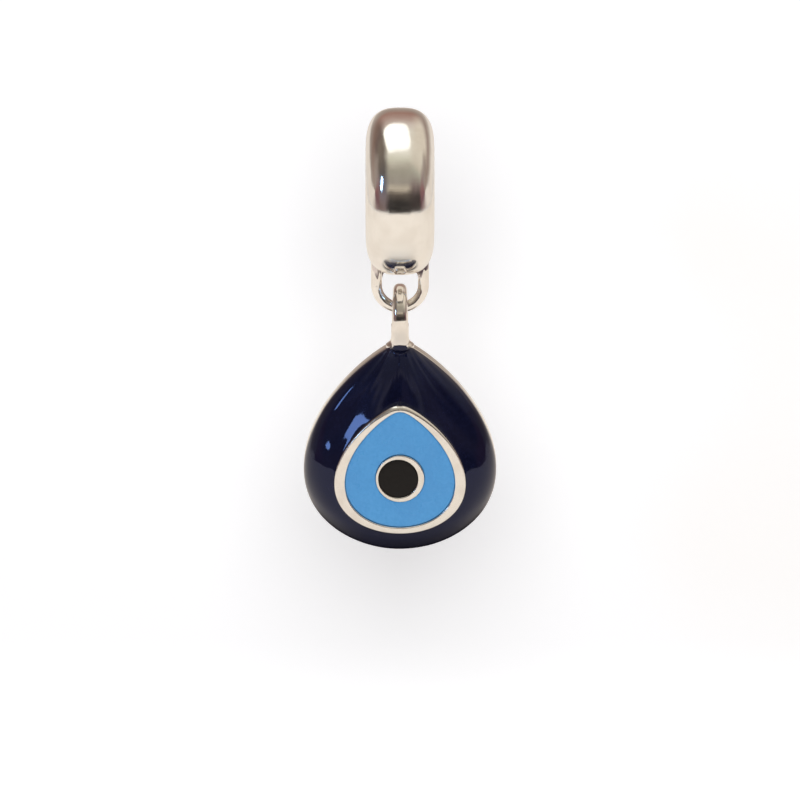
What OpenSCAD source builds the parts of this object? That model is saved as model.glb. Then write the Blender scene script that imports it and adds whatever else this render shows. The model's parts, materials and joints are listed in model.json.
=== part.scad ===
// Evil eye charm: an enamelled silver drop that swings from a bead on a bracelet.
// Millimetres. The origin is the centre of the bead's bore. +X runs along the bore, the
// charm hangs down -Z and its enamelled face looks along -Y.

/* [Bail bead] */
// Outer diameter of the bead that rides on the bracelet
bead_d = 9.5; // [9.3:0.1:9.8]
// Width of the bead along the bracelet
bead_w = 3.9; // [3.7:0.1:4.5]
// Squareness of the barrel section, where 2 is an ellipse
bead_squareness = 2.8; // [2.4:0.1:3.6]
// Wall of the pressed bead shell
bead_wall = 0.55; // [0.4:0.05:0.7]
// Bore for a 3 mm snake chain
bore_d = 4.5; // [4.3:0.1:4.7]
// Wall of the core tube that lines the bore
liner_wall = 0.3; // [0.25:0.05:0.4]

/* [Bail loop] */
// Wire of the fixed loop under the bead
loop_wire_d = 0.62; // [0.5:0.02:0.7]
// Distance between the wire centres of the loop's two legs
loop_span = 2.66; // [2.5:0.02:2.8]
// Depth of the wire's lowest centre below the bead
loop_reach = 2.1; // [2:0.05:2.3]
// Radius of the solder bead round the top of each leg
solder_r = 0.44; // [0.38:0.02:0.5]

/* [Eyelet] */
// Outer diameter of the eyelet ring
eyelet_d = 3.48; // [3.4:0.02:3.56]
// Hole of the eyelet
eyelet_hole_d = 1.5; // [1.4:0.02:1.56]
// Width across the top of the ring
eyelet_top_w = 0.74; // [0.6:0.02:0.8]
// Width across the ring's lower half and its foot
eyelet_foot_w = 0.92; // [0.86:0.02:0.98]
// Running clearance between the loop's wire and the eyelet
hang_gap = 0.03; // [0.02:0.01:0.05]

/* [Drop] */
// Width of the drop
drop_w = 10.96; // [10.4:0.02:11.6]
// Height of the drop from its theoretical point to its bottom
drop_h = 12.2; // [11.7:0.1:12.6]
// Taper of the drop's outline, where 0 is an ellipse and 1 has a straight-sided point
drop_taper = 0.61; // [0.55:0.01:0.66]
// Drop of the theoretical point below the loop's lowest wire centre
drop_hang = 2.11; // [2.05:0.01:2.15]
// Flat back, measured behind the plane in which the drop hangs
back_y = 1.7; // [1.5:0.05:1.9]
// Rounding of the back's edge
back_round = 0.8; // [0.6:0.05:0.9]
// Wall of the silver back cup and front plate
cup_wall = 0.6; // [0.5:0.05:0.7]
// Rim of the cup, where the silver ends and the navy enamel begins
girdle_y = 0.15; // [0.05:0.05:0.25]
// Height at which the drop's point is cut flat for the eyelet's foot
seat_drop = 0.3; // [0.25:0.01:0.35]

/* [Navy enamel] */
// Thickness of the navy enamel
navy_t = 0.35; // [0.25:0.05:0.4]
// Forward reach of the dome where it meets the eye's point
dome_tip_y = 1.5; // [1.4:0.05:1.6]
// Forward reach of the dome where it meets the eye's lower edge
dome_low_y = 2.1; // [1.95:0.05:2.15]
// Turn of the dome from the rim to the eye: 90 would end it flat
dome_turn = 64; // [55:1:75]
// Blunting of the dome's point half way between the rim and the eye
dome_blunt = 0.2; // [0:0.05:0.3]

/* [Eye] */
// Width of the raised eye
eye_w = 7.46; // [7.2:0.02:7.7]
// Height of the raised eye
eye_h = 7.73; // [7.5:0.01:7.9]
// Depth of the eye's point below the drop's point
eye_drop = 2.99; // [2.9:0.01:3.1]
// Front face of the eye, measured forward of the hanging plane
eye_y = 2.4; // [2.35:0.05:2.6]
// Width of the sky-blue field
sky_w = 6.25; // [6.1:0.01:6.35]
// Height of the sky-blue field
sky_h = 6.98; // [6.9:0.01:7.04]
// Taper of the sky-blue field's outline
sky_taper = 0.66; // [0.62:0.01:0.68]
// Depth of the sky-blue field's point below the eye's point
sky_drop = 0.37; // [0.34:0.01:0.4]
// Depth of the enamel cells
cell_depth = 0.3; // [0.25:0.05:0.35]
// Sink of the sky-blue enamel below the silver
sky_sink = 0.07; // [0.02:0.01:0.12]
// Outer diameter of the pupil ring
pupil_d = 2.76; // [2.6:0.02:2.9]
// Inner diameter of the pupil ring
pupil_hole_d = 2.26; // [2.1:0.02:2.4]
// Depth of the pupil's centre below the eye's point
pupil_drop = 4.37; // [4.2:0.01:4.5]
// Offset of the pupil to the left in its hand-set ring
pupil_shift = 0.1; // [0:0.01:0.15]
// Sink of the black enamel below the ring
pupil_sink = 0.05; // [0.02:0.01:0.1]

/* [Hidden] */

// Smoothness: sides of a turned shape, and points round a drop-shaped outline
$fn = 96;
outline_n = 72;
section_n = 24;
corner_n = 5;
dome_n = 9;
eye_n = 120;

// Heights down the charm
swing_z = -(bead_d / 2 + loop_reach);
leg_x = loop_span / 2;
loop_z = swing_z + leg_x;
hole_r = eyelet_hole_d / 2;
eyelet_z = swing_z + loop_wire_d / 2 + hang_gap - hole_r;
drop_top = swing_z - drop_hang;
seat_z = drop_top - seat_drop;
eye_top = drop_top - eye_drop;
sky_top = eye_top - sky_drop;
pupil_z = eye_top - pupil_drop;

// Depths through the drop, front to back
cell_floor_y = -eye_y + cell_depth;
bezel_floor = 0.5;
bezel_wall = 0.5;
bezel_back_y = -0.8;

// Sections of the bead and the core tube
liner_r = bore_d / 2 + liner_wall;
bead_core_r = 2.3;
bead_rise = bead_d / 2 - bead_core_r;
solder_z = -bead_d / 2 + 0.42;

// Centre and radius of the eyelet's foot, and the radius of its hollow flare
foot_y = 0.5;
foot_r = 0.8;
foot_flare = 0.66;

// A drop-shaped outline is x = a sin(u) sin(u/2)^taper, z = b cos(u). It is written as
// [half width, top, bottom, taper], and reach() turns the half width into a.
function reach(taper) = max([for (u = [60:1:150]) sin(u) * pow(sin(u / 2), taper)]);
function outline(w, top, h, taper) = [w / 2, top, top - h, taper];
function inset(o, t) = [o[0] - t, o[1] - t * sqrt(2), o[2] + t, o[3]];
function spot(o, u, y) = [
    o[0] / reach(o[3]) * sin(u) * pow(sin(u / 2), o[3]),
    y,
    (o[1] + o[2]) / 2 + (o[1] - o[2]) / 2 * cos(u)
];
function turns(n) = [for (i = [0:n - 1]) 360 * i / n];
function flat_ring(o, y) = [for (u = turns(outline_n)) spot(o, u, y)];

drop_line = outline(drop_w, drop_top, drop_h, drop_taper);
eye_line = outline(eye_w, eye_top, eye_h, drop_taper);
sky_line = outline(sky_w, sky_top, sky_h, sky_taper);

// One ring of a dome between an outer line at the rim and the eye's line. share runs from
// 0 at the rim to 1 at the eye, and sink lowers the dome under the enamel. Half way up, the
// outline's point is blunter, so the enamel has no ridge.
function blunted(o, share) = [o[0], o[1], o[2], o[3] - dome_blunt * sin(180 * share)];
function dome_ring(o, share, sink) =
    let (turn = dome_turn * share,
         inward = (1 - cos(turn)) / (1 - cos(dome_turn)),
         forward = sin(turn) / sin(dome_turn),
         rim = blunted(o, share),
         eye = blunted(eye_line, share))
    [for (u = turns(outline_n))
        let (reach_y = dome_tip_y + (dome_low_y - dome_tip_y) * sin(u / 2) - sink,
             y = girdle_y - (girdle_y + reach_y) * forward)
        spot(rim, u, y) * (1 - inward) + spot(eye, u, y) * inward];

// Solid through a list of rings. The ends are closed flat, or joined when looped is true.
module loft(rings, looped = false) {
    n = len(rings[0]);
    count = len(rings);
    bands = looped ? count : count - 1;
    sides = [for (k = [0:bands - 1], i = [0:n - 1])
        let (a = k * n, b = ((k + 1) % count) * n, j = (i + 1) % n)
        each [[a + i, a + j, b + j], [a + i, b + j, b + i]]];
    ends = looped ? [] : [
        [for (i = [n - 1:-1:0]) i],
        [for (i = [0:n - 1]) (count - 1) * n + i]
    ];
    polyhedron(points = [for (r = rings) each r], faces = concat(sides, ends));
}

// Upright slab of an outline, from depth y_back forward to y_front
module slab(o, y_back, y_front) {
    translate([0, y_back, 0])
        rotate([90, 0, 0])
            linear_extrude(height = y_back - y_front)
                polygon([for (u = turns(eye_n)) [spot(o, u, 0)[0], spot(o, u, 0)[2]]]);
}

// Cylinder that faces forward, from depth y_back to y_front, at the pupil's height
module pupil_disc(d, x, y_back, y_front) {
    translate([x, y_back, pupil_z])
        rotate([90, 0, 0])
            cylinder(h = y_back - y_front, d = d);
}

// Room above the flat that is cut on the drop's point
module above_seat() {
    translate([-drop_w / 2, -eye_y, seat_z])
        cube([drop_w, eye_y + back_y + 1, drop_hang]);
}

// Half section of the barrel, thinned by a wall: [distance along the bore, radius]
function barrel(wall) = [for (i = [0:section_n])
    let (u = 180 * i / section_n,
         across = bead_w / 2 - wall,
         up = bead_rise - wall,
         power = 2 / bead_squareness)
    [bead_core_r + up * pow(sin(u), power),
     across * sign(cos(u)) * pow(abs(cos(u)), power)]];

// Barrel turned about the bore, solid down to the core radius
module barrel_solid(wall) {
    rotate([0, 90, 0])
        rotate_extrude()
            polygon(concat([[0, -(bead_w / 2 - wall)], [0, bead_w / 2 - wall]], barrel(wall)));
}

module bail_bead() {
    color("silver")
        difference() {
            barrel_solid(0);
            barrel_solid(bead_wall);
            rotate([0, 90, 0])
                cylinder(h = bead_w + 1, r = liner_r, center = true);
        }
}

module bead_liner() {
    color("gainsboro")
        rotate([0, 90, 0])
            difference() {
                cylinder(h = bead_w, r = liner_r, center = true);
                cylinder(h = bead_w + 1, d = bore_d, center = true);
            }
}

module loop_leg(side) {
    translate([side * leg_x, 0, loop_z])
        cylinder(h = -loop_z - bead_core_r, d = loop_wire_d);
}

// U of round wire, its legs trimmed to the bead
module bail_loop() {
    color("silver")
        difference() {
            union() {
                translate([0, 0, loop_z])
                    rotate([-90, 0, 0])
                        rotate_extrude(angle = 180)
                            translate([leg_x, 0])
                                circle(d = loop_wire_d);
                for (side = [-1, 1])
                    loop_leg(side);
            }
            barrel_solid(0);
        }
}

// Bead of solder round the top of each leg, where it meets the barrel
module loop_solder() {
    color("lightgrey")
        difference() {
            for (side = [-1, 1])
                translate([side * leg_x, 0, solder_z])
                    sphere(r = solder_r);
            for (side = [-1, 1])
                loop_leg(side);
            barrel_solid(0);
        }
}

// Ring of rounded section about the bore's direction
module eyelet_ring() {
    section_r = eyelet_foot_w / 2;
    rotate([0, 90, 0])
        rotate_extrude()
            union() {
                translate([hole_r + section_r, 0])
                    circle(r = section_r);
                translate([eyelet_d / 2 - section_r, 0])
                    circle(r = section_r);
                translate([hole_r + section_r, -section_r])
                    square([eyelet_d / 2 - hole_r - 2 * section_r, eyelet_foot_w]);
            }
}

// Side planes that narrow the ring towards its top
module eyelet_taper() {
    half_top = eyelet_top_w / 2;
    half_foot = eyelet_foot_w / 2;
    ring_r = eyelet_d / 2;
    rotate([90, 0, 0])
        linear_extrude(height = eyelet_d + 1, center = true)
            polygon([[-half_foot, -ring_r], [half_foot, -ring_r], [half_foot, 0],
                     [half_top, ring_r], [-half_top, ring_r], [-half_foot, 0]]);
}

// Foot that flares out like a trumpet onto the flat of the drop's point
module eyelet_foot() {
    translate([0, foot_y, seat_z])
        rotate_extrude()
            difference() {
                square([foot_r, foot_flare]);
                translate([eyelet_foot_w / 2 + foot_flare, foot_flare])
                    circle(r = foot_flare);
            }
}

module eyelet() {
    color("silver")
        difference() {
            union() {
                translate([0, 0, eyelet_z])
                    intersection() {
                        eyelet_ring();
                        eyelet_taper();
                    }
                eyelet_foot();
            }
            translate([0, 0, eyelet_z])
                rotate([0, 90, 0])
                    cylinder(h = drop_w, r = hole_r, center = true);
        }
}

// Cup with a flat back, a rounded edge and a rim that faces forward
module drop_back() {
    inner = inset(drop_line, cup_wall);
    inner_round = back_round - cup_wall / 2;
    inner_back = back_y - cup_wall;
    steps = [for (i = [0:corner_n]) 90 * i / corner_n];
    hollow = [for (s = steps)
        flat_ring(inset(inner, inner_round * (1 - sin(s))),
                  inner_back - inner_round * (1 - cos(s)))];
    shell = [for (s = steps)
        flat_ring(inset(drop_line, back_round * (1 - cos(s))),
                  back_y - back_round * (1 - sin(s)))];
    color("silver")
        difference() {
            loft(concat(hollow, [flat_ring(inner, girdle_y), flat_ring(drop_line, girdle_y)],
                        shell));
            above_seat();
        }
}

// Dome between two depths under the enamel's surface
module dome_shell(outer_inset, outer_sink, inner_inset, inner_sink) {
    outer = inset(drop_line, outer_inset);
    inner = inset(drop_line, inner_inset);
    difference() {
        loft(concat([for (k = [0:dome_n]) dome_ring(outer, k / dome_n, outer_sink)],
                    [for (k = [dome_n:-1:0]) dome_ring(inner, k / dome_n, inner_sink)]),
             looped = true);
        above_seat();
    }
}

module drop_front() {
    color("silver")
        dome_shell(navy_t, navy_t, navy_t + cup_wall, navy_t + cup_wall);
}

module navy_enamel() {
    color("midnightblue")
        dome_shell(0, 0, navy_t, navy_t);
}

// Raised cup with the eye's rim round a cell for the enamel, hollow behind
module eye_bezel() {
    color("gainsboro")
        difference() {
            slab(eye_line, bezel_back_y, -eye_y);
            slab(sky_line, cell_floor_y, -eye_y - 1);
            slab(inset(eye_line, bezel_wall), bezel_back_y + 1, cell_floor_y + bezel_floor);
        }
}

module sky_enamel() {
    color("cornflowerblue")
        difference() {
            slab(sky_line, cell_floor_y, -eye_y + sky_sink);
            pupil_disc(pupil_d, 0, cell_floor_y + 1, -eye_y - 1);
        }
}

module pupil_ring() {
    color("gainsboro")
        difference() {
            pupil_disc(pupil_d, 0, cell_floor_y, -eye_y);
            pupil_disc(pupil_hole_d, -pupil_shift, cell_floor_y + 1, -eye_y - 1);
        }
}

module pupil_enamel() {
    color("black")
        pupil_disc(pupil_hole_d, -pupil_shift, cell_floor_y, -eye_y + pupil_sink);
}

bail_bead();
bead_liner();
bail_loop();
loop_solder();
eyelet();
drop_back();
drop_front();
navy_enamel();
eye_bezel();
sky_enamel();
pupil_ring();
pupil_enamel();
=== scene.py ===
# %% [markdown]
# # An enamelled evil eye charm
# The charm is a polished silver bead that rides on a bracelet, a small wire loop soldered
# under it, and an enamelled silver drop that swings from the loop by a cast eyelet. The
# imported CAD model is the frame: it fixes every size and place. Each piece below is made
# round it and rides on one of its two bodies, the bail or the drop.

# %% Load the frame
import json
import math

import bmesh
import bpy
import numpy as np
from mathutils import Matrix, Vector, noise


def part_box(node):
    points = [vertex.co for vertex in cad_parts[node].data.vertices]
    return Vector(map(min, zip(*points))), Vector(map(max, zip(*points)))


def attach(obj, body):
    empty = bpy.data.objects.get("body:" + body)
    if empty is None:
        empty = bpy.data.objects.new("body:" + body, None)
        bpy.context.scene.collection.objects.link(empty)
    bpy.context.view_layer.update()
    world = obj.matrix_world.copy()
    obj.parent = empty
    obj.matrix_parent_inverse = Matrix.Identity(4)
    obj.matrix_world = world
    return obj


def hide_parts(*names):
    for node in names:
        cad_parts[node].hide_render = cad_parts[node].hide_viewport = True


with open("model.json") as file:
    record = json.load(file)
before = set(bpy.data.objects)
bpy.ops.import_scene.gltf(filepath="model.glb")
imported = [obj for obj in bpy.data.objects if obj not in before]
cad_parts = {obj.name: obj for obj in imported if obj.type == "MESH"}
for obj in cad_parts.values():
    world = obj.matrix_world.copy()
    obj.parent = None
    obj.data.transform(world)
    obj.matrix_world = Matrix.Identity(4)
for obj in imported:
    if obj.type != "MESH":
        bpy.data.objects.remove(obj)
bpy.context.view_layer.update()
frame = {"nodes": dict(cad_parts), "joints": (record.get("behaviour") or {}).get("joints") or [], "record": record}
MM = 0.001
scene = bpy.context.scene
scene.view_settings.view_transform = "Standard"

# %% [markdown]
# ## Sizes from the frame
# Shapes are worked out in millimetres, because a charm this small is easier to think of
# that way, and turned to metres only when a mesh is written. The sizes are read off the
# CAD nodes, so that no piece can drift from the part it dresses.

# %% Read the sizes
def corners(node):
    low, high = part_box(node)
    return np.array(low) / MM, np.array(high) / MM


bead_high = corners("bail_bead")[1]
liner_high = corners("bead_liner")[1]
loop_high = corners("bail_loop")[1]
eyelet_high = corners("eyelet")[1]
cup_low, cup_high = corners("drop_back")
navy_high = corners("navy_enamel")[1]
bezel_low, bezel_high = corners("eye_bezel")
sky_low, sky_high = corners("sky_enamel")
ring_low, ring_high = corners("pupil_ring")
black_low, black_high = corners("pupil_enamel")
swing_z = frame["joints"][0]["pos_m"][2] / MM
print("swing axis", round(swing_z, 2), "mm, drop", cup_low.round(2), cup_high.round(2))

# %% [markdown]
# ## Colours and nodes
# A colour is picked as it looks on a screen, in hex, and Blender computes in linear light,
# so one function turns the one into the other. A second adds a node with its settings and
# its links, for materials, the world and Geometry Nodes alike: a number sets a socket, and
# a node or a socket is linked to it. Two more start a material and fill a Color Ramp.

# %% Helpers for colours and nodes
def srgb(code, strength=1.0):
    parts = [int(code[i:i + 2], 16) / 255 for i in (1, 3, 5)]
    curve = [c / 12.92 if c <= 0.04045 else ((c + 0.055) / 1.055) ** 2.4 for c in parts]
    return [strength * c for c in curve] + [1.0]


def add(tree, kind, inputs=None, **settings):
    node = tree.nodes.new(kind)
    for key, value in settings.items():
        setattr(node, key, value)
    for key, value in (inputs or {}).items():
        if isinstance(value, bpy.types.Node):
            value = next(o for o in value.outputs if o.enabled)
        if isinstance(value, bpy.types.NodeSocket):
            tree.links.new(value, node.inputs[key])
        else:
            node.inputs[key].default_value = value
    return node


def empty_material(name):
    material = bpy.data.materials.new(name)
    material.use_nodes = True
    material.node_tree.nodes.clear()
    return material, material.node_tree


def ramp_stops(node, stops):
    """Fill a Color Ramp from (position, colour) pairs."""
    band = node.color_ramp
    while len(band.elements) > 1:
        band.elements.remove(band.elements[-1])
    for index, (place, colour) in enumerate(stops):
        element = band.elements[0] if index == 0 else band.elements.new(place)
        element.position = place
        element.color = colour
    return node


print("mid grey #808080 in linear light", round(srgb("#808080")[0], 3))

# %% [markdown]
# ## The camera
# A small object is best looked at with a long lens from far off, so that its sides don't
# spread. The camera stands a metre away and looks down by 17 degrees.

# %% Camera
VIEW_TILT = math.radians(17)
VIEW_DISTANCE = 1000
FRAME_WIDTH = 45.45
LOOK_AT_Z = -12.36
SENSOR_WIDTH = 36
camera_data = bpy.data.cameras.new("camera")
camera_data.sensor_width = SENSOR_WIDTH
camera_data.lens = SENSOR_WIDTH * VIEW_DISTANCE / FRAME_WIDTH
camera_data.clip_start = 0.001
camera = bpy.data.objects.new("camera", camera_data)
scene.collection.objects.link(camera)
camera.location = (0, -VIEW_DISTANCE * math.cos(VIEW_TILT) * MM,
                   (LOOK_AT_Z + VIEW_DISTANCE * math.sin(VIEW_TILT)) * MM)
camera.rotation_euler = (math.pi / 2 - VIEW_TILT, 0, 0)
scene.camera = camera
print("lens", round(camera_data.lens, 1), "mm")

# %% [markdown]
# ## Polished silver
# The bead, loop, eyelet and cup are sterling silver, cast or pressed and then buffed to a
# mirror. Silver is the whitest metal, a little warm, and a buffing wheel leaves it almost
# free of grain: the eye reads the room in it. What tells it from a computer's perfect
# mirror is a very slow waviness from the wheel, a haze that comes and goes, and fine
# handling scratches.

# %% Metals
def metal(name, colour, stain, rough, haze, wave_mm, wave_depth, scratch_depth):
    """A silver finish. Real scratches are under 0.01 mm wide, so they are drawn coarser."""
    material, tree = empty_material(name)
    place = add(tree, "ShaderNodeTexCoord").outputs["Object"]
    mist = add(tree, "ShaderNodeTexNoise", {"Vector": place, "Scale": 900, "Detail": 4})
    level = add(tree, "ShaderNodeMapRange", {
        "Value": mist.outputs[0], "From Min": 0.35, "From Max": 0.7,
        "To Min": rough, "To Max": rough + haze})
    clean = add(tree, "ShaderNodeMapRange", {
        "Value": mist.outputs[0], "From Min": 0.36, "From Max": 0.56})
    tint = add(tree, "ShaderNodeMix", {
        0: clean.outputs[0], 6: srgb(stain), 7: srgb(colour)}, data_type="RGBA")
    waves = add(tree, "ShaderNodeTexNoise", {
        "Vector": place, "Scale": 1 / (wave_mm * MM), "Detail": 1})
    stretched = add(tree, "ShaderNodeMapping", {
        "Vector": place, "Rotation": (0.3, 0.5, 0.2), "Scale": (1, 12, 12)})
    scratches = add(tree, "ShaderNodeTexNoise", {
        "Vector": stretched, "Scale": 900, "Detail": 3, "Roughness": 0.6})
    slow = add(tree, "ShaderNodeBump", {
        "Height": waves.outputs[0], "Strength": 1, "Distance": wave_depth * MM})
    fine = add(tree, "ShaderNodeBump", {
        "Height": scratches.outputs[0], "Strength": 1, "Distance": scratch_depth * MM,
        "Normal": slow})
    shader = add(tree, "ShaderNodeBsdfPrincipled", {
        "Base Color": tint.outputs[2], "Metallic": 1.0, "Roughness": level,
        "Normal": fine})
    add(tree, "ShaderNodeOutputMaterial", {"Surface": shader})
    return material


# Pressed and buffed on a wheel: a clear mirror that bends slowly.
buffed_silver = metal("buffed_sterling_silver", "#F8F6F1", "#F2EFE9", 0.06, 0.1, 1.3, 0.01, 0.0015)
# Cast and tumbled: bright too, but its reflections wobble at a finer scale.
cast_silver = metal("cast_sterling_silver", "#FBF8F3", "#F0EBE4", 0.08, 0.12, 0.45, 0.014, 0.002)
# Drawn tube, reamed and left: a greyer satin.
tube_silver = metal("drawn_silver_tube", "#E9E4DB", "#D8D0C4", 0.2, 0.12, 1.0, 0.004, 0.003)
# Lapped flat together with the enamel: an even, slightly hazy white.
lapped_silver = metal("lapped_sterling_silver", "#F4F1EB", "#E9E5DE", 0.14, 0.1, 0.9, 0.004, 0.002)
# Solder that froze as it ran: lumpy, with dark stains where the flux burnt.
solder_silver = metal("flowed_silver_solder", "#E4DCDA", "#5A4E56", 0.1, 0.14, 0.3, 0.05, 0.002)
silvers = (buffed_silver, cast_silver, tube_silver, lapped_silver, solder_silver)
print("metals", [m.name for m in silvers])

# %% [markdown]
# ## Enamel
# Enamel is coloured glass, melted on in an oven and, here, kept under a clear gloss. The
# colour sits in the glass and the shine on top of it is colourless. Its surface settles in
# the heat, so it has a slow swell, and now and then a speck or a tiny sunk bubble.

# %% Enamels
def enamel(name, deep, pale, rough, swell_mm, swell_depth, grain_mm, grain_depth, glint, gloss):
    """An enamel whose colour drifts between two shades as the glass varies in depth."""
    material, tree = empty_material(name)
    place = add(tree, "ShaderNodeTexCoord").outputs["Object"]
    cloud = add(tree, "ShaderNodeTexNoise", {
        "Vector": place, "Scale": 1 / (2.2 * MM), "Detail": 3})
    speck = add(tree, "ShaderNodeTexNoise", {
        "Vector": place, "Scale": 1 / (grain_mm * MM), "Detail": 2})
    both = add(tree, "ShaderNodeMath", {
        0: cloud.outputs[0], 1: speck.outputs[0]}, operation="MULTIPLY")
    share = add(tree, "ShaderNodeMapRange", {
        "Value": both, "From Min": 0.12, "From Max": 0.42})
    colour = add(tree, "ShaderNodeMix", {
        0: share.outputs[0], 6: srgb(deep), 7: srgb(pale)}, data_type="RGBA")
    level = add(tree, "ShaderNodeMapRange", {
        "Value": cloud.outputs[0], "From Min": 0.35, "From Max": 0.65,
        "To Min": rough, "To Max": rough * 1.6})
    swell = add(tree, "ShaderNodeTexNoise", {
        "Vector": place, "Scale": 1 / (swell_mm * MM), "Detail": 0})
    soft = add(tree, "ShaderNodeBump", {
        "Height": swell.outputs[0], "Strength": 1, "Distance": swell_depth * MM})
    crisp = add(tree, "ShaderNodeBump", {
        "Height": speck.outputs[0], "Strength": 1, "Distance": grain_depth * MM,
        "Normal": soft})
    shader = add(tree, "ShaderNodeBsdfPrincipled", {
        "Base Color": colour.outputs[2], "Roughness": level, "IOR": 1.55,
        "Specular IOR Level": gloss, "Specular Tint": srgb(glint), "Normal": crisp})
    add(tree, "ShaderNodeOutputMaterial", {"Surface": shader})
    return material


# Fire-polished: nearly black, with a wet shine that is a little bluer than the lamps.
navy_glass = enamel("navy_vitreous_enamel", "#090C22", "#10142E", 0.04, 2.0, 0.02, 0.2, 0.0008,
                    "#C6CEFC", 0.5)
# Stoned flat: a soft gloss over an even, chalky blue.
sky_glass = enamel("sky_blue_opaque_enamel", "#4D9DDD", "#59A8E6", 0.22, 1.4, 0.008, 0.16, 0.0016,
                   "#FFFFFF", 0.5)
# Stoned flat and small: it shows almost no reflection, only a warm black.
black_glass = enamel("black_opaque_enamel", "#161413", "#1D1A18", 0.3, 0.8, 0.008, 0.15, 0.002,
                     "#FFFFFF", 0.18)
print("enamels", [m.name for m in (navy_glass, sky_glass, black_glass)])

# %% [markdown]
# ## Meshes from rings
# Most pieces here are a stack of closed rings joined by quads, as a potter builds with
# coils. One function writes such a stack. It closes an end with a point in its middle, or
# joins the last ring to the first. Another turns the finished piece's faces outwards and
# ties it to its body and hides its CAD node. Edges are eased by a quarter round, as shares.

# %% Ring stacks and finishing
def write_mesh(name, points, faces, material):
    mesh = bpy.data.meshes.new(name)
    mesh.from_pydata([tuple(p) for p in np.asarray(points) * MM], [], faces)
    mesh.materials.append(material)
    piece = bpy.data.objects.new(name, mesh)
    scene.collection.objects.link(piece)
    return piece


def ring_stack(name, rings, material, looped=False):
    """Quads between rings of equally many points, closed at the ends or round in a loop."""
    count = len(rings)
    size = len(rings[0])
    points = [p for ring in rings for p in ring]
    bands = count if looped else count - 1
    faces = [
        (k * size + i, k * size + (i + 1) % size,
         (k + 1) % count * size + (i + 1) % size, (k + 1) % count * size + i)
        for k in range(bands) for i in range(size)]
    if not looped:
        for first in (0, (count - 1) * size):
            points.append(np.mean(points[first:first + size], axis=0))
            faces += [(first + i, first + (i + 1) % size, len(points) - 1)
                      for i in range(size)]
    return write_mesh(name, points, faces, material)


def quarter(steps, back=False):
    """Shares (inward, outward) of a quarter round, from its side to its top, or back."""
    angles = np.radians(np.linspace(90, 0, steps) if back else np.linspace(0, 90, steps))
    return [(1 - math.cos(a), 1 - math.sin(a)) for a in angles]


def finish(piece, body, node):
    """Weld, turn the faces outwards, shade smoothly, tie the piece to its body and hide its CAD node."""
    mesh = piece.data
    work = bmesh.new()
    work.from_mesh(mesh)
    bmesh.ops.remove_doubles(work, verts=work.verts, dist=1e-7)
    bmesh.ops.recalc_face_normals(work, faces=work.faces)
    work.to_mesh(mesh)
    work.free()
    mesh.shade_smooth()
    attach(piece, body)
    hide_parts(node)
    mesh.calc_loop_triangles()
    print(piece.name, len(mesh.loop_triangles), "triangles, stands for", node)


print("a quarter round in 3 steps", np.round(quarter(3), 2).tolist())

# %% [markdown]
# ## Shapes that follow a rule
# Geometry Nodes can work a whole surface out of a flat grid: each point of the grid knows
# how far along and how far round it is, and arithmetic turns that into a place in space.
# The arithmetic is written below as a recipe, one line for each step, which is easier to
# read and to change than a drawing of forty boxes. A recipe's words are the tree's own
# inputs, the grid's "along" and "round", or earlier steps.
#
# A field is worked out again wherever it is used, so after a point has moved, the same
# arithmetic gives another answer. A second, finer move along the normals is therefore
# stored on the points as "lift" before the first one.

# %% Grow a surface from a recipe
def new_tree(name, geometry, sizes):
    """A tree with one geometry input and one number for each size, and a geometry output."""
    tree = bpy.data.node_groups.new(name, "GeometryNodeTree")
    tree.interface.new_socket(geometry, in_out="INPUT", socket_type="NodeSocketGeometry")
    for word in sizes:
        tree.interface.new_socket(word, in_out="INPUT", socket_type="NodeSocketFloat")
    tree.interface.new_socket("Geometry", in_out="OUTPUT", socket_type="NodeSocketGeometry")
    return tree, add(tree, "NodeGroupInput")


def end_tree(tree, shape, material):
    real = add(tree, "GeometryNodeRealizeInstances", {"Geometry": shape})
    dressed = add(tree, "GeometryNodeSetMaterial", {"Geometry": real, "Material": material})
    add(tree, "NodeGroupOutput", {"Geometry": dressed})
    return tree


def work_out(tree, recipe, words):
    """Add a Math node for each line of a recipe: its word, its operation and its values."""
    for line in recipe.strip().splitlines():
        word, operation, *values = line.split()
        given = {i: words[v] if v in words else float(v) for i, v in enumerate(values)}
        words[word] = add(tree, "ShaderNodeMath", given, operation=operation)


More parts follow.
